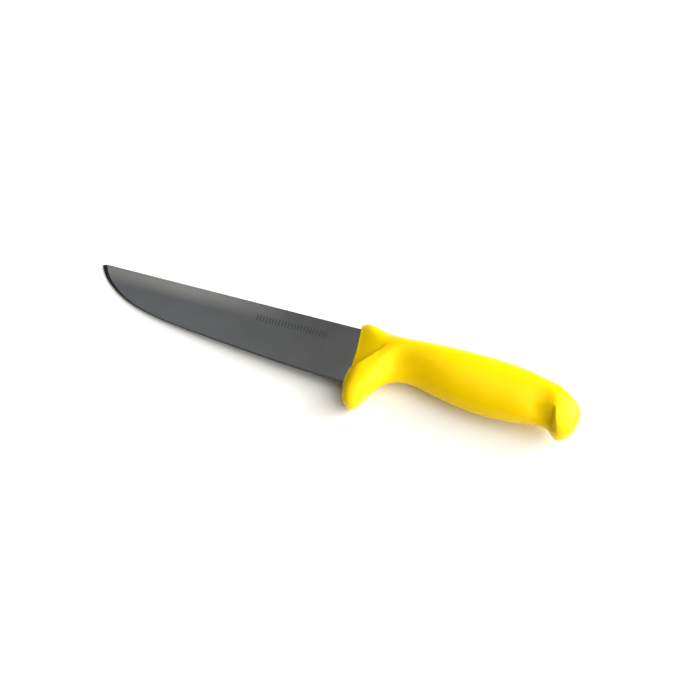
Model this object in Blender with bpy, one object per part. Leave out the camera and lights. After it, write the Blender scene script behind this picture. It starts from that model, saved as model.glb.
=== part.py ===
"""Butcher's knife: a flat-ground steel blade with a hidden tang, and a yellow handle moulded over it.

The knife is shaped in its own frame, in which X runs from the tip to the butt with X = 0 at the
handle's front, Y = 0 is the spine with the edge below it, and the blade lies in the XY plane. An
empty, rest_pose, then lays it on its side on a table: in the world +Z is up, the tip and the side of
the handle touch Z = 0, and the origin is at the middle of the knife's box.
"""
import math

import bmesh
import bpy
import numpy as np

MM = 0.001

# ---- blade
BLADE_LENGTH = 161.0 * MM        # tip to handle, along the spine
HEEL_DEPTH = 35.6 * MM           # spine to edge, at the handle
SPINE_THICKNESS = 2.8 * MM       # at the handle
TIP_THICKNESS = 1.4 * MM         # of the spine, at the tip
HEEL_THICKNESS = 0.8 * MM        # of the ground blade behind the edge, at the handle
BLADE_END = -0.1 * MM            # x at which the ground sides end, just ahead of the handle
EDGE_ANGLE = math.radians(16)    # of the sharpened band, on each side

# ---- tang, hidden in the handle
TANG_THICKNESS = 2.4 * MM
TANG_LENGTH = 104.0 * MM
TANG_HOLE_RADIUS = 3.5 * MM
TANG_HOLES = ((24 * MM, -13.0 * MM), (56 * MM, -13.5 * MM), (88 * MM, -14.5 * MM))
HEEL_REACH = 6.0 * MM            # how far the full depth of the blade goes into the handle
HEEL_STEP = 0.05 * MM            # the heel by the handle is this much thinner than the ground sides

# ---- handle
GAP = 0.3 * MM                   # clearance between steel and plastic
OVERLAP = 1.0 * MM               # of the heel's two solids, where they are joined
SLOT_START = -4.0 * MM           # x from which the slot is cut, ahead of the front face
RIM = 1.1 * MM                   # radius of the front face's rim
BACK_SQUARENESS = 2.35           # of the section's upper half; 2 is an ellipse

# ---- how the knife lies on the table
PITCH = math.radians(3.10)       # tip down
ROLL = math.radians(1.04)        # edge down

# The cutting edge from the heel to the tip, in millimetres.
EDGE_POINTS = (
    (0.0, -35.6), (-30.0, -33.9), (-70.0, -30.6), (-104.0, -27.1), (-126.0, -23.3),
    (-140.0, -18.5), (-150.0, -12.6), (-157.3, -6.0), (-161.0, -0.6),
)

# The tang's outline, in millimetres, before its clearance: along the back and then the belly.
TANG_BACK = ((2.0, -3.5), (60.0, -5.0), (100.0, -8.5), (104.0, -12.5))
TANG_BELLY = ((104.0, -18.0), (100.0, -21.5), (60.0, -22.0), (30.0, -20.0), (2.0, -24.0))

# The handle's stations from the front face to the butt, in millimetres: the point on the back (x, y),
# the point on the belly (x, y), the half thickness of the upper and the lower half of the side, and
# how square the lower half's section is (2 is an ellipse).
STATIONS = (
    ((0.0, 3.2), (0.0, -38.0), 6.6, 8.4, 3.0),       # front face
    ((3.0, 4.4), (1.2, -43.2), 7.6, 9.4, 3.1),
    ((6.5, 4.2), (4.2, -47.0), 8.8, 9.8, 3.2),
    ((11.0, 3.0), (8.2, -48.6), 9.7, 9.8, 3.1),      # tip of the finger guard
    ((15.5, 1.7), (11.6, -46.8), 10.2, 9.4, 2.9),
    ((20.0, 1.1), (14.8, -40.8), 10.6, 8.6, 2.6),
    ((24.0, 0.9), (18.8, -33.4), 11.0, 7.6, 2.3),
    ((29.0, 0.9), (24.6, -28.0), 11.2, 6.9, 2.0),
    ((35.0, 1.1), (32.4, -25.3), 11.4, 8.1, 1.9),    # finger recess
    ((47.0, 1.8), (47.0, -27.0), 12.0, 11.0, 1.85),
    ((64.0, 2.2), (64.0, -30.5), 12.4, 12.3, 1.85),  # palm swell
    ((84.0, 1.7), (84.0, -32.0), 12.1, 12.0, 1.95),
    ((100.5, -0.4), (100.5, -30.6), 11.7, 10.8, 2.1),
    ((111.0, -2.9), (111.2, -29.6), 11.4, 10.1, 2.4),  # neck ahead of the butt
    ((117.8, -4.8), (117.4, -31.4), 11.2, 11.5, 2.8),
    ((121.6, -6.8), (119.5, -33.4), 10.5, 10.9, 3.0),
    ((125.9, -9.6), (123.4, -33.9), 9.0, 9.2, 2.9),   # hook of the butt
    ((129.9, -14.0), (128.4, -30.2), 6.2, 6.4, 2.5),
    ((131.2, -20.6), (131.2, -20.6), 0.0, 0.0, 2.1),   # end of the butt
)

# The front's profile, in millimetres: points (y, x) that the front face passes through, before the
# rounding of its rim, and how far along the handle the profile is still felt.
FRONT_LINE = (
    (-50.0, 0.8), (-43.0, 1.6), (-38.0, 2.0), (-34.0, 2.6), (-29.0, 3.2), (-23.0, 3.3),
    (-15.0, 3.0), (-8.0, 2.1), (0.0, 1.1), (5.0, 0.3),
)
FRONT_REACH = 8.0

# The side swells from the front in two fields, the facet by the spine and the guard below it. Each
# is its height at the front, its rise, the length and the power of the rise, and its slope along y.
FACET = (3.8, 6.9, 26.0, 1.7, 0.06)
GUARD = (2.2, 7.6, 11.0, 2.7, 0.0)
FIELD_LIFT = 6.0                 # how far both fields rise as they melt into the grip
FIELD_BLEND = 1.0                # rounding where a field meets the rest of the side

# The crease between the two fields, in millimetres.
CREASE = (
    (2.5, -28.3), (4.4, -26.5), (7.3, -23.7), (9.4, -21.1), (11.5, -18.7), (13.5, -15.9), (15.6, -13.3),
    (18.1, -10.1), (26.0, -6.0),
)
CREASE_WIDTH = 1.1               # across it, over which one field gives way to the other
CREASE_FADE = (15.0, 32.0)       # x over which both fields rise by FIELD_LIFT

# The hollow ahead of the butt, in millimetres, whose back wall is steep.
HOLLOW_SHARE = 0.56              # of the half thickness that it takes away
HOLLOW_WALL = 116.9              # x of the wall at its middle
HOLLOW_MIDDLE = -22.0            # y of the wall's middle
HOLLOW_CURVE = 0.03              # how fast the wall bends back, per millimetre
HOLLOW_RUN = (-1.0, 1.2)         # x over which the wall rises, from HOLLOW_WALL
HOLLOW_FRONT = 101.0             # x where the hollow starts
HOLLOW_FLOOR = 2.0               # length of the hollow's floor ahead of the wall
HOLLOW_BELLY = (-38.0, -30.0)    # y over which it fades out below
HOLLOW_BACK = (-28.0, -20.5)     # y over which it fades out above

# Where the lower half's thickness passes into the upper half's: -1 is the belly and 1 the back.
HALVES = (-0.5, 0.6)

# ---- mesh
EDGE_STEPS = 44                  # along the cutting edge
EDGE_CROWDING = 1.4              # gathers the steps towards the tip; 1 is even
EDGE_NUDGE = 1e-3                # share of the edge's length over which its direction is taken
HOLE_SIDES = 24
SIDES = 48                       # around the handle
SECTION_STEPS = 1440             # round a section, when its points are spread out evenly
RIM_RINGS = 4
RINGS = ((0.0, 0.2, 30), (0.2, 0.78, 20), (0.78, 1.0, 22))   # from and to, of the length; rings
SHARP_ANGLE = math.radians(40)   # edges of the handle that bend more than this are not smoothed

# ---- finish: colour, roughness and how metallic
STEEL = ((0.30, 0.31, 0.33), 0.35, 1.0)
PLASTIC = ((0.95, 0.64, 0.004), 0.3, 0.0)


# ---------------------------------------------------------------- curves

def natural_spline(knots, values):
    """A smooth curve through the rows of values at the knots, as a function of one parameter."""
    knots = np.asarray(knots, float)
    values = np.asarray(values, float)
    steps = np.diff(knots)
    slopes = np.diff(values, axis=0) / steps[:, None]
    matrix = np.eye(len(knots))
    right = np.zeros_like(values)
    for i in range(1, len(knots) - 1):
        matrix[i, i - 1:i + 2] = steps[i - 1], 2 * (steps[i - 1] + steps[i]), steps[i]
        right[i] = 6 * (slopes[i] - slopes[i - 1])
    bend = np.linalg.solve(matrix, right)

    def curve(u):
        i = int(np.clip(np.searchsorted(knots, u) - 1, 0, len(knots) - 2))
        step, ahead, behind = steps[i], knots[i + 1] - u, u - knots[i]
        cubic = (bend[i] * ahead**3 + bend[i + 1] * behind**3) / (6 * step)
        start = values[i] / step - bend[i] * step / 6
        stop = values[i + 1] / step - bend[i + 1] * step / 6
        return cubic + start * ahead + stop * behind

    return curve


def run_length(points):
    """The distance along a row of points, up to each of them."""
    return np.concatenate(([0], np.cumsum(np.hypot(*np.diff(points, axis=0).T))))


def ease(value, low, high):
    """0 below low, 1 above high, and a smooth step between."""
    t = np.clip((value - low) / (high - low), 0, 1)
    return t * t * (3 - 2 * t)


# ---------------------------------------------------------------- blade

def ground_height(x, y):
    """Half thickness of the blade at (x, y): each side is one plane, thinner to edge and tip."""
    to_edge = (SPINE_THICKNESS - HEEL_THICKNESS) / 2 / HEEL_DEPTH
    to_tip = (SPINE_THICKNESS - TIP_THICKNESS) / 2 / BLADE_LENGTH
    return SPINE_THICKNESS / 2 + y * to_edge + x * to_tip


def edge_and_shoulder():
    """Points along the cutting edge, heel to tip, and where the sharpened band meets the side."""
    points = np.array(EDGE_POINTS) * MM
    run = run_length(points)
    curve = natural_spline(run / run[-1], points)
    edge, shoulder = [], []
    for k in range(EDGE_STEPS + 1):
        t = 1 - (1 - k / EDGE_STEPS)**EDGE_CROWDING
        here = curve(t)
        ahead = curve(min(t + EDGE_NUDGE, 1)) - curve(max(t - EDGE_NUDGE, 0))
        inward = np.array([ahead[1], -ahead[0]]) / np.hypot(*ahead)
        thickening = ground_height(*(here + inward * MM)) / MM - ground_height(*here) / MM
        width = ground_height(*here) / (math.tan(EDGE_ANGLE) - thickening)
        edge.append(here)
        shoulder.append(here + inward * width)
    for row in (edge, shoulder):
        row[0][0] = BLADE_END
    below = [k for k in range(len(shoulder)) if shoulder[k][1] < -GAP]
    return [edge[k] for k in below] + [edge[-1]], [shoulder[k] for k in below]


def blade_mesh(name):
    """The ground blade, closed by its spine and by a flat end at the handle."""
    edge, shoulder = edge_and_shoulder()
    near, far = shoulder[-2], shoulder[-1]
    meets_spine = far + (far - near) * far[1] / (near[1] - far[1])
    corners = shoulder + [meets_spine, np.array([BLADE_END, 0.0])]
    bm = bmesh.new()
    upper = [bm.verts.new((x, y, ground_height(x, y))) for x, y in corners]
    lower = [bm.verts.new((x, y, -ground_height(x, y))) for x, y in corners]
    rim = [bm.verts.new((x, y, 0)) for x, y in edge]
    tip, last = rim[-1], len(shoulder) - 1
    bm.faces.new(upper)
    bm.faces.new(lower)
    for side in (upper, lower):
        for a in range(last):
            bm.faces.new((side[a], rim[a], rim[a + 1], side[a + 1]))
        bm.faces.new((side[last], rim[last], tip, side[last + 1]))
    bm.faces.new((upper[last + 1], tip, lower[last + 1]))
    bm.faces.new((upper[last + 1], lower[last + 1], lower[-1], upper[-1]))
    bm.faces.new((upper[-1], lower[-1], lower[0], rim[0], upper[0]))
    return finished(name, bm)


def prism_mesh(name, low, high):
    """A closed prism between two matching outlines, each a list of (x, y, z) points."""
    bm = bmesh.new()
    low = [bm.verts.new(p) for p in low]
    high = [bm.verts.new(p) for p in high]
    bm.faces.new(low)
    bm.faces.new(high)
    for a in range(len(low)):
        b = (a + 1) % len(low)
        bm.faces.new((low[a], low[b], high[b], high[a]))
    return finished(name, bm)


def heel_section(x, grow):
    """The blade's section where it goes into the handle, grown by a clearance."""
    rise = grow - HEEL_STEP
    top = ground_height(0, 0) + rise
    foot = ground_height(0, -HEEL_DEPTH) + rise
    back, belly = rise, -HEEL_DEPTH - rise
    return [(x, back, top), (x, back, -top), (x, belly, -foot), (x, belly, foot)]


def tang_outline(grow):
    """The tang's outline, grown by a clearance."""
    outline = []
    for points, out in ((TANG_BACK, grow), (TANG_BELLY, -grow)):
        for x, y in points:
            end = grow if x > TANG_LENGTH / MM / 2 else -grow
            outline.append((x * MM + end, y * MM + out))
    return outline


def hole_mesh(name, radius, height):
    """A cylinder along Z."""
    bm = bmesh.new()
    bmesh.ops.create_cone(
        bm, cap_ends=True, segments=HOLE_SIDES, radius1=radius, radius2=radius, depth=height)
    return finished(name, bm)


def hidden_steel(prefix, grow, front, parent):
    """The heel and the tang as they are inside the handle, grown by a clearance, as two tools."""
    name = prefix + "_heel"
    mesh = prism_mesh(name, heel_section(front, grow), heel_section(HEEL_REACH + grow, grow))
    heel = add_tool(name, mesh, parent)

    name = prefix + "_tang"
    half = TANG_THICKNESS / 2 + grow
    outline = tang_outline(grow)
    mesh = prism_mesh(name, [(x, y, -half) for x, y in outline], [(x, y, half) for x, y in outline])
    tang = add_tool(name, mesh, parent)
    for number, (x, y) in enumerate(TANG_HOLES, 1):
        name = f"{prefix}_hole_{number}"
        hole = add_tool(name, hole_mesh(name, TANG_HOLE_RADIUS - grow, 4 * half), parent)
        hole.location = (x, y, 0)
        combine(tang, hole, "DIFFERENCE")
    return heel, tang


# ---------------------------------------------------------------- handle

def handle_sections():
    """The spline that carries a section along the handle, and the parameter at its end."""
    rows = [[*back, *belly, upper, lower] for back, belly, upper, lower, _ in STATIONS]
    before_end = rows[-2]
    rows.append([*before_end[2:4], *before_end[0:2], -before_end[4], -before_end[5]])
    rows = np.array(rows) * MM
    square = [station[4] for station in STATIONS]
    square.append(square[-1])
    knots = (run_length(rows[:, 0:2]) + run_length(rows[:, 2:4])) / 2
    return natural_spline(knots, np.column_stack((rows, square))), knots[-2]


def swell(field, x, y):
    """The height of one field of the front at (x, y), in millimetres."""
    start, rise, length, power, slope = field
    return start + rise * (1 - np.abs(1 - np.minimum(x / length, 1))**power) + slope * y


def lower_of(a, b, blend):
    """The lower of two heights, rounded where they cross."""
    return (a + b - np.sqrt((a - b)**2 + blend**2)) / 2


def front_limit(x, y):
    """The height that the facet and the guard leave to the side at (x, y), in millimetres."""
    crease_x, crease_y = np.array(CREASE).T
    slopes = np.diff(crease_y) / np.diff(crease_x)
    slope = np.interp(x, (crease_x[1:] + crease_x[:-1]) / 2, slopes)
    across = (y - np.interp(x, crease_x, crease_y)) / np.sqrt(1 + slope**2)
    guard, facet = swell(GUARD, x, y), swell(FACET, x, y)
    limit = guard + (facet - guard) * ease(across, -CREASE_WIDTH / 2, CREASE_WIDTH / 2)
    return limit + FIELD_LIFT * ease(x, *CREASE_FADE)


def sculpt(x, y, z, inset):
    """The half thickness z at (x, y), cut back where the side is carved; all in millimetres."""
    z = lower_of(z, front_limit(x, y) - inset, FIELD_BLEND)
    wall = HOLLOW_WALL + HOLLOW_CURVE * (y - HOLLOW_MIDDLE)**2
    floor = ease(x, HOLLOW_FRONT, wall - HOLLOW_FLOOR)
    along = floor * (1 - ease(x, wall + HOLLOW_RUN[0], wall + HOLLOW_RUN[1]))
    across = ease(y, *HOLLOW_BELLY) * (1 - ease(y, *HOLLOW_BACK))
    return z * (1 - HOLLOW_SHARE * along * across)


def round_section(share, height, width, square):
    """Points round a section at even distances: along its height and to its side, both from -1 to 1."""
    angle = np.linspace(0, 2 * math.pi, SECTION_STEPS + 1)
    c, s = np.cos(angle), np.sin(angle)
    power = 2 / np.where(c > 0, BACK_SQUARENESS, square)
    along, side = np.sign(c) * np.abs(c)**power, np.sign(s) * np.abs(s)**power
    run = run_length(np.column_stack((along * height / 2, side * width)))
    return np.interp(share * run[-1], run, along), np.interp(share * run[-1], run, side)


def handle_ring(section, inset=0.0, shift=0.0):
    """One closed ring of points round the handle, as an array of rows (x, y, z)."""
    back, belly = section[0:2] - (0, inset), section[2:4] + (0, inset)
    upper, lower, square = section[4:7]
    share = np.arange(SIDES) / SIDES
    along, side = round_section(share, math.dist(back, belly), (upper + lower) / 2, square)
    x, y = ((back + belly)[:, None] + (back - belly)[:, None] * along) / 2
    width = np.maximum(lower + (upper - lower) * ease(along, *HALVES) - inset, 0)
    front_y, front_x = np.array(FRONT_LINE).T
    x = x + np.interp(y / MM, front_y, front_x) * MM * (1 - ease(x / MM, 0, FRONT_REACH))
    z = sculpt(x / MM, y / MM, abs(side) * width / MM, abs(side) * inset / MM) * MM
    return np.column_stack((x + shift, y, np.sign(side) * np.maximum(z, 0)))


def handle_mesh(name):
    """The handle's skin: a loft with a front face, its rounded rim and a domed butt."""
    section, end = handle_sections()
    loops = []
    for k in range(RIM_RINGS):
        turn = math.pi / 2 * (1 - k / RIM_RINGS)
        loops.append(handle_ring(section(0), RIM * (1 - math.cos(turn)), -RIM * math.sin(turn)))
    for start, stop, count in RINGS:
        for t in np.linspace(start, stop, count, endpoint=False):
            loops.append(handle_ring(section(end * t)))
    bm = bmesh.new()
    loops = [[bm.verts.new(point) for point in loop] for loop in loops]
    butt = bm.verts.new((*section(end)[0:2], 0))
    for a in range(SIDES // 2):
        across = loops[0][-a - 1], loops[0][-a]
        corners = dict.fromkeys((loops[0][a], loops[0][a + 1], *across))
        bm.faces.new(list(corners))
    for a in range(SIDES):
        b = (a + 1) % SIDES
        for near, far in zip(loops, loops[1:]):
            bm.faces.new((near[b], near[a], far[a], far[b]))
        bm.faces.new((loops[-1][b], loops[-1][a], butt))
    return finished(name, bm)


# ---------------------------------------------------------------- scene

def finished(name, bm):
    """Turns the faces outwards and makes the mesh."""
    bmesh.ops.recalc_face_normals(bm, faces=bm.faces)
    mesh = bpy.data.meshes.new(name)
    bm.to_mesh(mesh)
    bm.free()
    return mesh


def add(name, mesh, parent):
    """Adds an object under the parent."""
    thing = bpy.data.objects.new(name, mesh)
    bpy.context.collection.objects.link(thing)
    thing.parent = parent
    return thing


def add_tool(name, mesh, parent):
    """Adds an object that only shapes others."""
    thing = add(name, mesh, parent)
    thing.hide_render = True
    thing.display_type = "WIRE"
    return thing


def combine(target, tool, operation):
    """Adds a Boolean modifier to the target."""
    modifier = target.modifiers.new(tool.name, "BOOLEAN")
    modifier.operation = operation
    modifier.object = tool


def material(name, colour, roughness, metallic):
    """A plain Principled material."""
    finish = bpy.data.materials.new(name)
    finish.use_nodes = True
    shader = finish.node_tree.nodes["Principled BSDF"]
    shader.inputs["Base Color"].default_value = (*colour, 1)
    shader.inputs["Roughness"].default_value = roughness
    shader.inputs["Metallic"].default_value = metallic
    return finish


def settle(pose, things):
    """Moves the pose so that the things stand on Z = 0, with the origin at the middle of their box."""
    bpy.context.view_layer.update()
    points = np.array([thing.matrix_world @ v.co for thing in things for v in thing.data.vertices])
    low, high = points.min(axis=0), points.max(axis=0)
    pose.location = (-(low[0] + high[0]) / 2, -(low[1] + high[1]) / 2, -low[2])


def main():
    """Builds the knife."""
    for thing in list(bpy.data.objects):
        bpy.data.objects.remove(thing)

    pose = add("rest_pose", None, None)
    pose.rotation_euler = (ROLL, -PITCH, 0)

    blade = add("blade", blade_mesh("blade"), pose)
    blade.data.materials.append(material("ground steel", *STEEL))
    for tool in hidden_steel("steel", 0.0, BLADE_END - OVERLAP, pose):
        combine(blade, tool, "UNION")

    handle = add("handle", handle_mesh("handle"), pose)
    handle.data.shade_smooth()
    handle.data.set_sharp_from_angle(angle=SHARP_ANGLE)
    handle.data.materials.append(material("yellow polypropylene", *PLASTIC))
    for tool in hidden_steel("slot", GAP + HEEL_STEP, SLOT_START, pose):
        combine(handle, tool, "DIFFERENCE")

    settle(pose, (blade, handle))


main()
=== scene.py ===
"""Looks of a butcher's knife with a yellow moulded handle, lying on its side on a pale table.

The blade and the handle are built again as fine meshes in the knife's own frame, in which X runs from
the tip to the butt with X = 0 at the handle's front, Y = 0 is the spine with the edge below it, and
the blade lies in the XY plane. They are then laid on the table as the CAD knife is.
"""

import math

import bmesh
import bpy
import numpy as np
from mathutils import Euler, Matrix, Vector, noise


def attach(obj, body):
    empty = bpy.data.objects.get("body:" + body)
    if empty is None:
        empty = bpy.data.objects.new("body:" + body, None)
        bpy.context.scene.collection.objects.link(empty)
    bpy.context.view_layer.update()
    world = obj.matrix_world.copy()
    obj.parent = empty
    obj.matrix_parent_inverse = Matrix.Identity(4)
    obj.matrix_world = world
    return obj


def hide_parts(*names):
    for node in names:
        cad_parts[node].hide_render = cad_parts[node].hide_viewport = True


MM = 0.001

# ---- blade, as in the CAD but for its end
BLADE_LENGTH = 161.0 * MM        # tip to handle, along the spine
HEEL_DEPTH = 35.6 * MM           # spine to edge, at the handle
BLADE_END = 3.0 * MM             # x at which the ground sides end, inside the handle
SPINE_THICKNESS = 2.8 * MM       # at the handle
TIP_THICKNESS = 1.4 * MM         # of the spine, at the tip
HEEL_THICKNESS = 0.8 * MM        # of the ground blade behind the edge, at the handle
TO_EDGE = (SPINE_THICKNESS - HEEL_THICKNESS) / 2 / HEEL_DEPTH    # how fast the half thickness falls
TO_TIP = (SPINE_THICKNESS - TIP_THICKNESS) / 2 / BLADE_LENGTH
EDGE_ANGLE = math.radians(16)    # of the sharpened band, on each side
EDGE_POINTS = (
    (0.0, -35.6), (-30.0, -33.9), (-70.0, -30.6), (-104.0, -27.1), (-126.0, -23.3),
    (-140.0, -18.5), (-150.0, -12.6), (-157.3, -6.0), (-161.0, -0.6),
)

# ---- tang, hidden in the handle, as in the CAD
TANG_THICKNESS = 2.4 * MM
TANG_LENGTH = 104.0 * MM
TANG_HOLE_RADIUS = 3.5 * MM
TANG_HOLES = ((24 * MM, -13.0 * MM), (56 * MM, -13.5 * MM), (88 * MM, -14.5 * MM))
HEEL_REACH = 6.0 * MM            # how far the full depth of the blade goes into the handle
HEEL_STEP = 0.05 * MM            # the heel in the handle is this much thinner than the ground sides
OVERLAP = 1.0 * MM               # of the heel's two solids, where they are joined
SLOT_START = -4.0 * MM           # x from which the slot is cut, ahead of the front face
TANG_BACK = ((2.0, -3.5), (60.0, -5.0), (100.0, -8.5), (104.0, -12.5))
TANG_BELLY = ((104.0, -18.0), (100.0, -21.5), (60.0, -22.0), (30.0, -20.0), (2.0, -24.0))

# ---- handle, as in the CAD
RIM = 1.1 * MM                   # radius of the front face's rim
BACK_SQUARENESS = 2.35           # of the section's upper half; 2 is an ellipse
THINNEST = 0.1                   # share of a section's thickness that the carving always leaves
HALVES = (-0.5, 0.6)             # where the lower half's thickness passes into the upper half's

# The stations: back (x, y), belly (x, y), half thickness of the upper and
# the lower half of the side, and the lower half's squareness.
STATIONS = (
    ((0.0, 3.2), (0.0, -38.0), 6.6, 8.4, 3.0),
    ((3.0, 4.4), (1.2, -43.2), 7.6, 9.4, 3.1),
    ((6.5, 4.2), (4.2, -47.0), 8.8, 9.8, 3.2),
    ((11.0, 3.0), (8.2, -48.6), 9.7, 9.8, 3.1),
    ((15.5, 1.7), (11.6, -46.8), 10.2, 9.4, 2.9),
    ((20.0, 1.1), (14.8, -40.8), 10.6, 8.6, 2.6),
    ((24.0, 0.9), (18.8, -33.4), 11.0, 7.6, 2.3),
    ((29.0, 0.9), (24.6, -28.0), 11.2, 6.9, 2.0),
    ((35.0, 1.1), (32.4, -25.3), 11.4, 8.1, 1.9),
    ((47.0, 1.8), (47.0, -27.0), 12.0, 11.0, 1.85),
    ((64.0, 2.2), (64.0, -30.5), 12.4, 12.3, 1.85),
    ((84.0, 1.7), (84.0, -32.0), 12.1, 12.0, 1.95),
    ((100.5, -0.4), (100.5, -30.6), 11.7, 10.8, 2.1),
    ((111.0, -2.9), (111.2, -29.6), 11.4, 10.1, 2.4),
    ((117.8, -4.8), (117.4, -31.4), 11.2, 11.5, 2.8),
    ((121.6, -6.8), (119.5, -33.4), 10.5, 10.9, 3.0),
    ((125.9, -9.6), (123.4, -33.9), 9.0, 9.2, 2.9),
    ((129.9, -14.0), (128.4, -30.2), 6.2, 6.4, 2.5),
    ((131.2, -20.6), (131.2, -20.6), 0.0, 0.0, 2.1),
)

# The front's profile: points (y, x) that the front face passes through, before its rim is rounded, and
# how far along the handle the profile is still felt.
FRONT_LINE = (
    (-50.0, 0.8), (-43.0, 1.6), (-38.0, 2.0), (-34.0, 2.6), (-29.0, 3.2), (-23.0, 3.3),
    (-15.0, 3.0), (-8.0, 2.1), (0.0, 1.1), (5.0, 0.3),
)
FRONT_REACH = 8.0

# The side swells from the front in two fields, the facet by the spine and the guard below it: height
# at the front, rise, length and power of the rise, slope along y.
FACET = (3.8, 6.9, 26.0, 1.7, 0.06)
GUARD = (2.2, 7.6, 11.0, 2.7, 0.0)
CREASE = (
    (2.5, -28.3), (4.4, -26.5), (7.3, -23.7), (9.4, -21.1), (11.5, -18.7), (13.5, -15.9), (15.6, -13.3),
    (18.1, -10.1), (26.0, -6.0),
)
CREASE_WIDTH = 1.1               # across it, over which one field gives way to the other
CREASE_FADE = (15.0, 32.0)       # x over which both fields rise by FIELD_LIFT
FIELD_LIFT = 6.0                 # how far both fields rise as they melt into the grip
FIELD_BLEND = 1.0                # rounding where a field meets the rest of the side

# The hollow ahead of the butt, in millimetres, whose back wall is steep.
HOLLOW_SHARE = 0.56              # of the half thickness that it takes away
HOLLOW_WALL = 116.9              # x of the wall at its middle
HOLLOW_MIDDLE = -22.0            # y of the wall's middle
HOLLOW_CURVE = 0.03              # how fast the wall bends back, per millimetre
HOLLOW_RUN = (-1.0, 1.2)         # x over which the wall rises, from HOLLOW_WALL
HOLLOW_FRONT = 101.0             # x where the hollow starts
HOLLOW_FLOOR = 2.0               # length of the hollow's floor ahead of the wall
HOLLOW_BELLY = (-38.0, -30.0)    # y over which it fades out below
HOLLOW_BACK = (-28.0, -20.5)     # y over which it fades out above

# ---- how the knife lies on the table
PITCH = math.radians(3.10)       # tip down
ROLL = math.radians(1.04)        # edge down

# ---- mesh
EDGE_STEPS = 140                 # along the cutting edge
EDGE_CROWDING = 1.4              # gathers the steps towards the tip; 1 is even
EDGE_NUDGE = 1e-3                # share of the edge's length over which its direction is taken
SPINE_TURNS = 6                  # steps round each eased corner of the spine
HOLE_SIDES = 48
SECTION_STEPS = 1440             # round a section, when its points are spread out evenly
SIDES = 216                      # around the handle
RIM_RINGS = 8
RINGS = ((0.0, 0.32, 150), (0.32, 0.78, 80), (0.78, 1.0, 80))    # from and to, of the length; rings
SHARP_ANGLE = math.radians(65)   # edges of the handle that bend more than this are not smoothed

# ---- finer details that only the looks have
VISIBLE_GAP = 0.05 * MM          # the plastic grips the steel
SPINE_ROUNDING = 0.25 * MM
BAND_CLEARANCE = 0.1 * MM        # the sharpened band stops this far below the eased spine
PARTING_HEIGHT = 0.10 * MM       # the mould's parting line along the back and the belly
PARTING_ANGLE = 0.006            # between the line's points round the section, in radians
PARTING_SHOULDER = 0.6           # height of the line's side points, as a share of its peak
WAVINESS = 0.05 * MM             # of the moulded surface
WAVES = ((45, 1.0), (110, 0.5))  # waves per metre, and how strong they are
FINE_START = 0.02                # share of the handle's length over which these details come in

# ---- colours and marks
STEEL_PAINTED_DARK = (0.200, 0.207, 0.203, 1)    # steel with a painted darker reflection, by the handle
STEEL_PAINTED_LIGHT = (0.43, 0.455, 0.48, 1)     # steel with a painted lighter reflection, by the tip
PAINTED_REFLECTION_RUN = (-150.0 * MM, -18.0 * MM)    # x over which the painted reflection passes from one to the other
PAINTED_SHEEN = (0.80, 0.79, 0.76, 1)     # painted sheen: a reflection painted as a bright strip along the spine
SHEEN_DEPTH = (-11.0 * MM, -3.0 * MM)    # y over which the painted sheen comes in
SHEEN_LENGTH = (-108.0 * MM, -42.0 * MM)  # x over which it goes out
BAND_PAINTED_SHADE = (0.115, 0.117, 0.12, 1)    # painted shade on the sharpened band, standing in for its darker reflection
BAND_STEP = (0.01 * MM, 0.04 * MM)       # how far the band is below the ground side's plane
STEEL_ROUGHNESS = (0.17, 0.19)           # least and most, before the lines and the band add theirs
LINE_ROUGHNESS = 0.05
BAND_ROUGHNESS = 0.2
TICK_COLOUR = (0.05, 0.05, 0.052, 1)
TICK_DEPTH = 0.6                 # how far the ticks are darkened towards their colour
TICK_PITCH = 1.9 * MM
TICK_SHARE = (0.3, 0.62)         # of each pitch that is dark
TICK_ROW = (-61.0 * MM, -18.0 * MM)
TICK_HEIGHT = (-11.0 * MM, -7.2 * MM)
PLASTIC_DEEP = (0.885, 0.590, 0.0008, 1)
PLASTIC_PALE = (0.915, 0.615, 0.0008, 1)
PLASTIC_ROUGHNESS = (0.24, 0.36)
PLASTIC_IOR = 1.45
PLASTIC_SHINE = 0.15             # specular level; 0.5 is the full reflection of the index
TABLE_COOL = (0.88, 0.88, 0.885, 1)
TABLE_PALE = (0.90, 0.90, 0.90, 1)
TABLE_ROUGHNESS = 0.9
TABLE_SHINE = 0.1
TABLE_HALF = 4.0                 # half the table's side

# Cells of noise per metre along x, y and z.
LINES = (5200, 70, 70)           # the grind's lines, across the blade
BANDS = (300, 10, 10)            # broader bands of roughness among them
STEEL_CLOUDS = (45, 60, 60)
SCRATCHES = (90, 2600, 90)       # stray scratches, along the blade
GRAIN = (2600, 2600, 2600)       # the mould's texture
PLASTIC_CLOUDS = (38, 38, 38)
RUBS = (240, 900, 500)           # marks of handling
TABLE_CLOUDS = (9, 9, 9)

# ---- the light
# Glows: azimuth and elevation in degrees, strength, narrowness and colour. A broad low one comes from
# the butt's end, one from above, and two fainter ones from the far side, for the steel to mirror.
GLOWS = (
    (6.0, 27.0, 5.6, 8.0, (1.0, 0.985, 0.93)),
    (0.0, 75.0, 1.2, 25.0, (1.0, 0.985, 0.93)),
    (150.0, 72.0, 0.65, 60.0, (1.0, 1.0, 1.0)),
    (135.0, 5.0, 0.30, 16.0, (0.97, 0.98, 1.0)),
)
# Lamps: azimuth and elevation in degrees, distance, size, power and colour.
LAMPS = (
    ("side", 35.0, 20.0, 1.0, 0.60, 9.0, (1.0, 0.98, 0.92)),
)

# ---- the view
CAMERA_TARGET = Vector((-2.1, -14.7, 10.0)) * MM      # from the point below the knife's origin
CAMERA_AZIMUTH = math.radians(18.44)
CAMERA_ELEVATION = math.radians(60.0)
CAMERA_DISTANCE = 0.80
CAMERA_LENS = 73.03


# ---------------------------------------------------------------- curves

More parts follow.
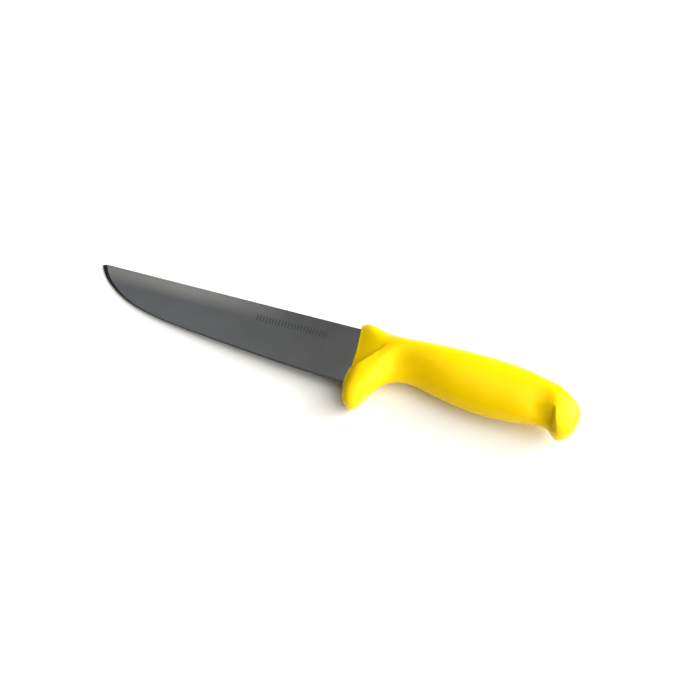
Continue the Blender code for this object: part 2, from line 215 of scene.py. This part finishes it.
def natural_spline(knots, values):
    """A smooth curve through the rows of values at the knots, as a function of one parameter."""
    knots = np.asarray(knots, float)
    values = np.asarray(values, float)
    steps = np.diff(knots)
    slopes = np.diff(values, axis=0) / steps[:, None]
    matrix = np.eye(len(knots))
    right = np.zeros_like(values)
    for i in range(1, len(knots) - 1):
        matrix[i, i - 1:i + 2] = steps[i - 1], 2 * (steps[i - 1] + steps[i]), steps[i]
        right[i] = 6 * (slopes[i] - slopes[i - 1])
    bend = np.linalg.solve(matrix, right)

    def curve(u):
        i = int(np.clip(np.searchsorted(knots, u) - 1, 0, len(knots) - 2))
        step, ahead, behind = steps[i], knots[i + 1] - u, u - knots[i]
        cubic = (bend[i] * ahead**3 + bend[i + 1] * behind**3) / (6 * step)
        start = values[i] / step - bend[i] * step / 6
        stop = values[i + 1] / step - bend[i + 1] * step / 6
        return cubic + start * ahead + stop * behind

    return curve


def run_length(points):
    """The distance along a row of points, up to each of them."""
    return np.concatenate(([0], np.cumsum(np.hypot(*np.diff(points, axis=0).T))))


def ease(value, low, high):
    """0 below low, 1 above high, and a smooth step between."""
    t = np.clip((value - low) / (high - low), 0, 1)
    return t * t * (3 - 2 * t)


# ---------------------------------------------------------------- blade

def ground_height(x, y):
    """Half thickness of the blade at (x, y): each side is one plane, thinner to edge and tip."""
    return SPINE_THICKNESS / 2 + y * TO_EDGE + x * TO_TIP


def edge_and_shoulder():
    """Points along the cutting edge, heel to tip, and where the sharpened band meets the side."""
    points = np.array(EDGE_POINTS) * MM
    run = run_length(points)
    curve = natural_spline(run / run[-1], points)
    edge, shoulder = [], []
    for k in range(EDGE_STEPS + 1):
        t = 1 - (1 - k / EDGE_STEPS)**EDGE_CROWDING
        here = curve(t)
        ahead = curve(min(t + EDGE_NUDGE, 1)) - curve(max(t - EDGE_NUDGE, 0))
        inward = np.array([ahead[1], -ahead[0]]) / np.hypot(*ahead)
        thickening = ground_height(*(here + inward * MM)) / MM - ground_height(*here) / MM
        width = ground_height(*here) / (math.tan(EDGE_ANGLE) - thickening)
        edge.append(here)
        shoulder.append(here + inward * width)
    for row in (edge, shoulder):
        row[0][0] = BLADE_END
    below = [k for k in range(len(shoulder)) if shoulder[k][1] < -SPINE_ROUNDING - BAND_CLEARANCE]
    return [edge[k] for k in below] + [edge[-1]], [shoulder[k] for k in below]


def blade_mesh(name):
    """The ground blade with an eased spine, closed by a flat end inside the handle's slot."""
    edge, shoulder = edge_and_shoulder()
    near, far = shoulder[-2], shoulder[-1]
    meets_spine = far + (far - near) * (far[1] + SPINE_ROUNDING) / (near[1] - far[1])
    bm = bmesh.new()
    rim = [bm.verts.new((x, y, 0)) for x, y in edge]
    tip, last = rim[-1], len(shoulder) - 1
    rows = []
    for side in (1, -1):
        row = [bm.verts.new((x, y, side * ground_height(x, y))) for x, y in shoulder]
        for a in range(last):
            bm.faces.new((row[a], rim[a], rim[a + 1], row[a + 1]))
        for x in (meets_spine[0], BLADE_END):
            height = ground_height(x, -SPINE_ROUNDING)
            arc = []
            for k in range(SPINE_TURNS + 1):
                turn = math.pi / 2 * k / SPINE_TURNS
                y = SPINE_ROUNDING * (math.sin(turn) - 1)
                z = height - SPINE_ROUNDING * (1 - math.cos(turn))
                arc.append(bm.verts.new((x, y, side * z)))
            rows.append(arc)
        at_tip, at_heel = rows[-2:]
        bm.faces.new(row + [at_tip[0], at_heel[0]])
        bm.faces.new((row[last], rim[last], tip, at_tip[0]))
        for a, b in zip(range(SPINE_TURNS), range(1, SPINE_TURNS + 1)):
            bm.faces.new((at_tip[a], at_tip[b], at_heel[b], at_heel[a]))
            bm.faces.new((at_tip[a], at_tip[b], tip))
        rows.append(row)
    tip_up, heel_up, row_up, tip_low, heel_low, row_low = rows
    bm.faces.new((tip_up[-1], tip_low[-1], tip))
    bm.faces.new((tip_up[-1], heel_up[-1], heel_low[-1], tip_low[-1]))
    bm.faces.new([*heel_up, *heel_low[::-1], row_low[0], rim[0], row_up[0]])
    return finished(name, bm)


def prism_mesh(name, low, high):
    """A closed prism between two matching outlines, each a list of (x, y, z) points."""
    bm = bmesh.new()
    low = [bm.verts.new(p) for p in low]
    high = [bm.verts.new(p) for p in high]
    bm.faces.new(low)
    bm.faces.new(high)
    for a in range(len(low)):
        b = (a + 1) % len(low)
        bm.faces.new((low[a], low[b], high[b], high[a]))
    return finished(name, bm)


def heel_section(x, grow):
    """The blade's section where it goes into the handle, grown by a clearance."""
    rise = grow - HEEL_STEP
    top = ground_height(0, 0) + rise
    foot = ground_height(0, -HEEL_DEPTH) + rise
    back, belly = rise, -HEEL_DEPTH - rise
    return [(x, back, top), (x, back, -top), (x, belly, -foot), (x, belly, foot)]


def tang_outline(grow):
    """The tang's outline, grown by a clearance."""
    outline = []
    for points, out in ((TANG_BACK, grow), (TANG_BELLY, -grow)):
        for x, y in points:
            end = grow if x > TANG_LENGTH / MM / 2 else -grow
            outline.append((x * MM + end, y * MM + out))
    return outline


def hidden_steel(grow, front):
    """The heel and the tang as they are inside the handle, grown by a clearance."""
    mesh = prism_mesh("heel", heel_section(front, grow), heel_section(HEEL_REACH + grow, grow))
    heel = add("heel", mesh)
    half = TANG_THICKNESS / 2 + grow
    outline = tang_outline(grow)
    mesh = prism_mesh("tang", [(x, y, -half) for x, y in outline], [(x, y, half) for x, y in outline])
    tang = add("tang", mesh)
    holes = []
    for x, y in TANG_HOLES:
        bm = bmesh.new()
        radius = TANG_HOLE_RADIUS - grow
        bmesh.ops.create_cone(
            bm, cap_ends=True, segments=HOLE_SIDES, radius1=radius, radius2=radius, depth=4 * half)
        bmesh.ops.translate(bm, verts=bm.verts, vec=(x, y, 0))
        holes.append(add("hole", finished("hole", bm)))
    combine(tang, holes, "DIFFERENCE")
    return heel, tang


# ---------------------------------------------------------------- handle

def handle_sections():
    """The spline that carries a section along the handle, and the parameter at its end."""
    rows = [[*back, *belly, upper, lower] for back, belly, upper, lower, _ in STATIONS]
    before_end = rows[-2]
    rows.append([*before_end[2:4], *before_end[0:2], -before_end[4], -before_end[5]])
    rows = np.array(rows) * MM
    square = [station[4] for station in STATIONS]
    square.append(square[-1])
    knots = (run_length(rows[:, 0:2]) + run_length(rows[:, 2:4])) / 2
    return natural_spline(knots, np.column_stack((rows, square))), knots[-2]


def swell(field, x, y):
    """The height of one field of the front at (x, y), in millimetres."""
    start, rise, length, power, slope = field
    return start + rise * (1 - np.abs(1 - np.minimum(x / length, 1))**power) + slope * y


def lower_of(a, b, blend):
    """The lower of two heights, rounded where they cross."""
    return (a + b - np.sqrt((a - b)**2 + blend**2)) / 2


def front_limit(x, y):
    """The height that the facet and the guard leave to the side at (x, y), in millimetres."""
    crease_x, crease_y = np.array(CREASE).T
    slopes = np.diff(crease_y) / np.diff(crease_x)
    slope = np.interp(x, (crease_x[1:] + crease_x[:-1]) / 2, slopes)
    across = (y - np.interp(x, crease_x, crease_y)) / np.sqrt(1 + slope**2)
    guard, facet = swell(GUARD, x, y), swell(FACET, x, y)
    limit = guard + (facet - guard) * ease(across, -CREASE_WIDTH / 2, CREASE_WIDTH / 2)
    return limit + FIELD_LIFT * ease(x, *CREASE_FADE)


def sculpt(x, y, z, inset):
    """The half thickness z at (x, y), cut back where the side is carved; all in millimetres."""
    z = lower_of(z, front_limit(x, y) - inset, FIELD_BLEND)
    wall = HOLLOW_WALL + HOLLOW_CURVE * (y - HOLLOW_MIDDLE)**2
    floor = ease(x, HOLLOW_FRONT, wall - HOLLOW_FLOOR)
    along = floor * (1 - ease(x, wall + HOLLOW_RUN[0], wall + HOLLOW_RUN[1]))
    across = ease(y, *HOLLOW_BELLY) * (1 - ease(y, *HOLLOW_BACK))
    return z * (1 - HOLLOW_SHARE * along * across)


def round_section(share, height, width, square):
    """Points round a section at even distances: along its height and to its side, both from -1 to 1."""
    angle = np.linspace(0, 2 * math.pi, SECTION_STEPS + 1)
    c, s = np.cos(angle), np.sin(angle)
    power = 2 / np.where(c > 0, BACK_SQUARENESS, square)
    along, side = np.sign(c) * np.abs(c)**power, np.sign(s) * np.abs(s)**power
    run = run_length(np.column_stack((along * height / 2, side * width)))
    return np.interp(share * run[-1], run, along), np.interp(share * run[-1], run, side)


def handle_ring(section, angle, inset=0.0, shift=0.0):
    """One closed ring of points round the handle, as an array of rows (x, y, z)."""
    back, belly = section[0:2] - (0, inset), section[2:4] + (0, inset)
    upper, lower, square = section[4:7]
    share = angle / (2 * math.pi) % 1
    along, side = round_section(share, math.dist(back, belly), (upper + lower) / 2, square)
    x, y = ((back + belly)[:, None] + (back - belly)[:, None] * along) / 2
    width = np.maximum(lower + (upper - lower) * ease(along, *HALVES) - inset, 0)
    front_y, front_x = np.array(FRONT_LINE).T
    x = x + np.interp(y / MM, front_y, front_x) * MM * (1 - ease(x / MM, 0, FRONT_REACH))
    z = sculpt(x / MM, y / MM, abs(side) * width / MM, abs(side) * inset / MM) * MM
    z = np.maximum(z, abs(side) * width * THINNEST)
    return np.column_stack((x + shift, y, np.sign(side) * z))


def front_face(bm, loop):
    """Closes the first loop with a strip that follows the front's profile."""
    last = len(loop)
    for a in range(last // 2):
        near, far = (last - a) % last, last - a - 1
        corners = dict.fromkeys((loop[a], loop[a + 1], loop[far], loop[near]))
        bm.faces.new(list(corners))


def ring_angles():
    """The angles round a ring, with crowded points at the back and the belly, and the parting line's
    height at each, as a share of its peak."""
    ridge = np.array([-2, -1, 0, 1, 2]) * PARTING_ANGLE
    regular = 2 * math.pi * np.arange(1, SIDES) / SIDES
    half = SIDES // 2
    angle = np.concatenate((ridge[2:], regular[:half - 1], math.pi + ridge, regular[half:], ridge[:2]))
    height = np.zeros(len(angle))
    for k in (np.argmin(abs(angle)), np.argmin(abs(angle - math.pi))):
        height[k] = 1
        height[k - 1] = height[(k + 1) % len(angle)] = PARTING_SHOULDER
    return angle, height


def handle_mesh(name):
    """The handle's skin: a loft with a front face, a rounded rim, a domed butt and the mould's traces."""
    section, end = handle_sections()
    angle, height = ring_angles()
    loops, fine = [], []
    for k in range(RIM_RINGS):
        turn = math.pi / 2 * (1 - k / RIM_RINGS)
        loops.append(handle_ring(section(0), angle, RIM * (1 - math.cos(turn)), -RIM * math.sin(turn)))
        fine.append(0)
    for start, stop, count in RINGS:
        for t in np.linspace(start, stop, count, endpoint=False):
            loops.append(handle_ring(section(end * t), angle))
            fine.append(float(ease(t, 0, FINE_START)))
    bm = bmesh.new()
    loops = [[bm.verts.new(point) for point in loop] for loop in loops]
    butt = bm.verts.new((*section(end)[0:2], 0))
    front_face(bm, loops[0])
    for a in range(len(angle)):
        b = (a + 1) % len(angle)
        for near, far in zip(loops, loops[1:]):
            bm.faces.new((near[b], near[a], far[a], far[b]))
        bm.faces.new((loops[-1][b], loops[-1][a], butt))
    bmesh.ops.recalc_face_normals(bm, faces=bm.faces)
    bm.normal_update()
    for loop, share in zip(loops, fine):
        for vertex, up in zip(loop, height):
            sway = sum(strength * noise.noise(vertex.co * waves) for waves, strength in WAVES)
            vertex.co += vertex.normal * share * (PARTING_HEIGHT * up + WAVINESS * sway)
    return finished(name, bm)


# ---------------------------------------------------------------- objects

def finished(name, bm):
    """Turns the faces outwards and makes the mesh."""
    bmesh.ops.recalc_face_normals(bm, faces=bm.faces)
    mesh = bpy.data.meshes.new(name)
    bm.to_mesh(mesh)
    bm.free()
    return mesh


def add(name, mesh):
    """Adds an object to the scene."""
    thing = bpy.data.objects.new(name, mesh)
    bpy.context.scene.collection.objects.link(thing)
    return thing


def combine(target, tools, operation):
    """Cuts the tools out of the target, or joins them to it, and removes them."""
    for tool in tools:
        modifier = target.modifiers.new("combine", "BOOLEAN")
        modifier.operation = operation
        modifier.object = tool
    bpy.context.view_layer.update()
    result = bpy.data.meshes.new_from_object(target.evaluated_get(bpy.context.evaluated_depsgraph_get()))
    target.modifiers.clear()
    target.data = result
    for tool in tools:
        bpy.data.objects.remove(tool)


def lay_down(things):
    """Lays the knife on the table as the CAD knife lies, and returns the place of its own frame."""
    turn = Euler((ROLL, -PITCH, 0)).to_matrix().to_4x4()
    for thing in things:
        thing.data.transform(turn)
    points = np.array([v.co for thing in things for v in thing.data.vertices])
    low, high = points.min(axis=0), points.max(axis=0)
    place = Vector((-(low[0] + high[0]) / 2, -(low[1] + high[1]) / 2, -low[2]))
    for thing in things:
        thing.data.transform(Matrix.Translation(place))
    return place


# ---------------------------------------------------------------- materials

class Shader:
    """A Principled material whose nodes are added by name and wired by socket."""

    def __init__(self, name):
        self.material = bpy.data.materials.new(name)
        self.material.use_nodes = True
        self.nodes = self.material.node_tree.nodes
        self.links = self.material.node_tree.links
        self.main = self.nodes["Principled BSDF"]

    def node(self, kind, settings=None, **inputs):
        """A node of this kind with its settings and inputs; a value or a socket fills an input."""
        made = self.nodes.new(kind)
        for key, value in (settings or {}).items():
            setattr(made, key, value)
        for key, value in inputs.items():
            self.put(value, made.inputs[key.replace("_", " ")])
        return made

    def knife_frame(self, place):
        """Coordinates in the knife's own frame, whose origin is at the given place."""
        row_frame = self.node("ShaderNodeTexCoord").outputs["Object"]
        return self.node("ShaderNodeMapping", {"vector_type": "TEXTURE"}, Vector=row_frame,
                         Location=place, Rotation=(ROLL, -PITCH, 0)).outputs[0]

    def put(self, value, socket):
        """Links a socket, or sets a value."""
        if isinstance(value, bpy.types.NodeSocket):
            self.links.new(value, socket)
        else:
            socket.default_value = value

    def math(self, operation, *values):
        """The outcome of one operation on the values."""
        made = self.nodes.new("ShaderNodeMath")
        made.operation = operation
        for value, socket in zip(values, made.inputs):
            self.put(value, socket)
        return made.outputs[0]

    def noise(self, coordinates, stretch, detail=2.0):
        """Noise with so many cells per metre along x, y and z."""
        mapped = self.node("ShaderNodeMapping", Vector=coordinates, Scale=stretch)
        made = self.node("ShaderNodeTexNoise", Vector=mapped.outputs[0], Scale=1.0, Detail=detail,
                         Roughness=0.5)
        return made.outputs["Fac"]

    def remap(self, value, low, high, to_low=0.0, to_high=1.0):
        """The value moved from one range to another, and kept within it."""
        made = self.node("ShaderNodeMapRange", Value=value, From_Min=low, From_Max=high,
                         To_Min=to_low, To_Max=to_high)
        return made.outputs[0]

    def blend(self, share, first, second):
        """A share of the way from the first colour to the second."""
        made = self.node("ShaderNodeMix", {"data_type": "RGBA"})
        self.put(share, made.inputs[0])
        self.put(first, made.inputs[6])
        self.put(second, made.inputs[7])
        return made.outputs[2]


def steel_tone(steel, place, band):
    """The steel's colour, with painted reflections: painted paler to the tip and darker by the handle, a
    painted sheen as a bright strip by the spine, painted shade on the sharpened band, and the ticks.
    """
    split = steel.node("ShaderNodeSeparateXYZ", Vector=place).outputs
    patchy = steel.remap(steel.noise(place, STEEL_CLOUDS), 0.3, 0.7, -0.06, 0.06)
    # painted reflection: the steel is painted darker by the handle and paler to the tip
    share = steel.math("ADD", patchy, steel.remap(split[0], *PAINTED_REFLECTION_RUN, 0.94, 0.06))
    tone = steel.blend(share, STEEL_PAINTED_DARK, STEEL_PAINTED_LIGHT)
    # painted sheen: a bright reflection painted along the spine towards the tip
    along = steel.remap(split[0], *SHEEN_LENGTH, 1.0, 0.0)
    sheen = steel.math("MULTIPLY", along, steel.remap(split[1], *SHEEN_DEPTH))
    tone = steel.blend(sheen, tone, PAINTED_SHEEN)
    # painted shade: the sharpened band is painted darker than the steel
    tone = steel.blend(band, tone, BAND_PAINTED_SHADE)
    marks = steel.math("MULTIPLY", tick_marks(steel, place), TICK_DEPTH)
    return steel.blend(marks, tone, TICK_COLOUR)


def sharpened_band(steel, place):
    """1 where the surface is below the plane of the ground side, and 0 on the ground side."""
    split = steel.node("ShaderNodeSeparateXYZ", Vector=place).outputs
    side = steel.math("MULTIPLY_ADD", split[1], TO_EDGE, SPINE_THICKNESS / 2)
    side = steel.math("MULTIPLY_ADD", split[0], TO_TIP, side)
    below = steel.math("SUBTRACT", side, steel.math("ABSOLUTE", split[2]))
    return steel.remap(below, *BAND_STEP)


def steel_material(origin):
    """Satin ground stainless steel: fine lines across the blade, stray scratches, a row of plain ticks."""
    steel = Shader("ground steel")
    place = steel.knife_frame(origin)
    band = sharpened_band(steel, place)
    steel.put(steel_tone(steel, place, band), steel.main.inputs["Base Color"])
    lines = steel.noise(place, LINES)
    rough = steel.remap(steel.noise(place, BANDS), 0.3, 0.7, *STEEL_ROUGHNESS)
    rough = steel.math("ADD", rough, steel.math("MULTIPLY", lines, LINE_ROUGHNESS))
    rough = steel.math("ADD", rough, steel.math("MULTIPLY", band, BAND_ROUGHNESS))
    steel.put(rough, steel.main.inputs["Roughness"])
    scratch = steel.remap(steel.noise(place, SCRATCHES), 0.66, 0.72)
    height = steel.math("ADD", lines, steel.math("MULTIPLY", scratch, -1.5))
    bump = steel.node("ShaderNodeBump", Strength=0.2, Distance=0.01 * MM, Height=height)
    steel.put(bump.outputs[0], steel.main.inputs["Normal"])
    steel.main.inputs["Metallic"].default_value = 1.0
    return steel.material


def between(shader, value, low, high, soft):
    """1 where the value is between low and high, with soft ends."""
    up = shader.remap(value, low - soft, low + soft)
    down = shader.remap(value, high - soft, high + soft, 1.0, 0.0)
    return shader.math("MULTIPLY", up, down)


def tick_marks(shader, place):
    """1 on a row of plain etched ticks on the blade's upper side, and 0 elsewhere."""
    split = shader.node("ShaderNodeSeparateXYZ", Vector=place).outputs
    phase = shader.math("FRACT", shader.math("DIVIDE", split[0], TICK_PITCH))
    ticks = between(shader, phase, *TICK_SHARE, 0.06)
    row = between(shader, split[0], *TICK_ROW, 0.1 * MM)
    tall = between(shader, split[1], *TICK_HEIGHT, 0.15 * MM)
    upper = shader.math("GREATER_THAN", split[2], 0.0)
    marks = shader.math("MULTIPLY", ticks, row)
    return shader.math("MULTIPLY", shader.math("MULTIPLY", marks, tall), upper)


def plastic_material(origin):
    """Yellow moulded polypropylene: half gloss, a fine mould grain and light handling marks."""
    plastic = Shader("yellow polypropylene")
    place = plastic.knife_frame(origin)
    clouds = plastic.noise(place, PLASTIC_CLOUDS, 3.0)
    tone = plastic.blend(plastic.remap(clouds, 0.3, 0.7), PLASTIC_DEEP, PLASTIC_PALE)
    plastic.put(tone, plastic.main.inputs["Base Color"])
    rub = plastic.noise(place, RUBS, 3.0)
    plastic.put(plastic.remap(rub, 0.35, 0.75, *PLASTIC_ROUGHNESS), plastic.main.inputs["Roughness"])
    grain = plastic.noise(place, GRAIN)
    bump = plastic.node("ShaderNodeBump", Strength=0.3, Distance=0.03 * MM, Height=grain)
    plastic.put(bump.outputs[0], plastic.main.inputs["Normal"])
    plastic.main.inputs["IOR"].default_value = PLASTIC_IOR
    plastic.main.inputs["Specular IOR Level"].default_value = PLASTIC_SHINE
    return plastic.material


def floor_material():
    """A matt white table top."""
    floor = Shader("white table")
    place = floor.node("ShaderNodeTexCoord").outputs["Object"]
    tone = floor.blend(floor.noise(place, TABLE_CLOUDS), TABLE_COOL, TABLE_PALE)
    floor.put(tone, floor.main.inputs["Base Color"])
    floor.main.inputs["Roughness"].default_value = TABLE_ROUGHNESS
    floor.main.inputs["Specular IOR Level"].default_value = TABLE_SHINE
    return floor.material


# ---------------------------------------------------------------- light, table and camera

def towards(azimuth, elevation):
    """The unit vector to an azimuth from +X and an elevation above the table, both in degrees."""
    azimuth, elevation = math.radians(azimuth), math.radians(elevation)
    flat = math.cos(elevation)
    return Vector((math.cos(azimuth) * flat, math.sin(azimuth) * flat, math.sin(elevation)))


def area_lights():
    """Square soft lights that face the knife."""
    for name, azimuth, elevation, distance, size, power, colour in LAMPS:
        lamp = bpy.data.lights.new(name, "AREA")
        lamp.size, lamp.energy, lamp.color = size, power, colour
        thing = add(name, lamp)
        direction = towards(azimuth, elevation)
        thing.location = direction * distance
        thing.rotation_euler = direction.to_track_quat("Z", "Y").to_euler()


def surroundings():
    """A studio whose glows each fade smoothly to nothing on the side that faces away from them."""
    world = bpy.data.worlds.new("studio")
    bpy.context.scene.world = world
    world.use_nodes = True
    nodes, links = world.node_tree.nodes, world.node_tree.links
    direction = nodes.new("ShaderNodeTexCoord").outputs["Generated"]
    total = None
    for azimuth, elevation, strength, narrowness, colour in GLOWS:
        facing = nodes.new("ShaderNodeVectorMath")
        facing.operation = "DOT_PRODUCT"
        facing.inputs[1].default_value = towards(azimuth, elevation)
        links.new(direction, facing.inputs[0])
        value = facing.outputs["Value"]
        steps = ("MULTIPLY_ADD", (0.5, 0.5)), ("POWER", (narrowness,)), ("MULTIPLY", (strength,))
        for operation, numbers in steps:
            step = nodes.new("ShaderNodeMath")
            step.operation = operation
            links.new(value, step.inputs[0])
            for number, socket in zip(numbers, step.inputs[1:]):
                socket.default_value = number
            value = step.outputs[0]
        glow = nodes.new("ShaderNodeVectorMath")
        glow.operation = "MULTIPLY_ADD"
        glow.inputs[0].default_value = colour
        links.new(value, glow.inputs[1])
        if total:
            links.new(total, glow.inputs[2])
        total = glow.outputs[0]
    links.new(total, nodes["Background"].inputs["Color"])


def table_top():
    """A wide plain table under the knife."""
    bm = bmesh.new()
    bmesh.ops.create_grid(bm, x_segments=2, y_segments=2, size=TABLE_HALF)
    mesh = bpy.data.meshes.new("table")
    bm.to_mesh(mesh)
    bm.free()
    table = add("table", mesh)
    table.data.materials.append(floor_material())


def camera(origin):
    """The photograph's view: from the butt's side of the edge, 60 degrees above the table."""
    back = Vector((
        math.sin(CAMERA_AZIMUTH) * math.cos(CAMERA_ELEVATION),
        -math.cos(CAMERA_AZIMUTH) * math.cos(CAMERA_ELEVATION),
        math.sin(CAMERA_ELEVATION),
    ))
    lens = bpy.data.cameras.new("camera")
    lens.lens = CAMERA_LENS
    thing = add("camera", lens)
    target = Vector((origin.x, origin.y, 0)) + CAMERA_TARGET
    thing.location = target + back * CAMERA_DISTANCE
    thing.rotation_euler = (-back).to_track_quat("-Z", "Y").to_euler()
    bpy.context.scene.camera = thing


# ---------------------------------------------------------------- the scene

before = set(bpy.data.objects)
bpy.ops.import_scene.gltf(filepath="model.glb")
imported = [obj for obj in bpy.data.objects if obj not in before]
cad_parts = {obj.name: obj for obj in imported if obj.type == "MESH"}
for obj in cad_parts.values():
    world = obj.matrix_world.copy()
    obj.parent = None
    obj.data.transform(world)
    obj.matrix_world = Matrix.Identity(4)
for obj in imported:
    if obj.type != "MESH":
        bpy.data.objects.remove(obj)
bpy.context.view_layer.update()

blade = add("knife_blade", blade_mesh("knife_blade"))
combine(blade, hidden_steel(0.0, BLADE_END - OVERLAP), "UNION")
handle = add("knife_handle", handle_mesh("knife_handle"))
combine(handle, hidden_steel(VISIBLE_GAP + HEEL_STEP, SLOT_START), "DIFFERENCE")
handle.data.shade_smooth()
handle.data.set_sharp_from_angle(angle=SHARP_ANGLE)
origin = lay_down((blade, handle))
for piece, material in ((blade, steel_material(origin)), (handle, plastic_material(origin))):
    piece.data.materials.clear()
    piece.data.materials.append(material)

for piece, node, slot in ((blade, "blade", "ground_steel"), (handle, "handle", "yellow_plastic")):
    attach(piece, "root")
    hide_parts(node)

table_top()
surroundings()
area_lights()
camera(origin)
bpy.context.scene.cycles.use_denoising = True
bpy.context.scene.view_settings.view_transform = "Standard"
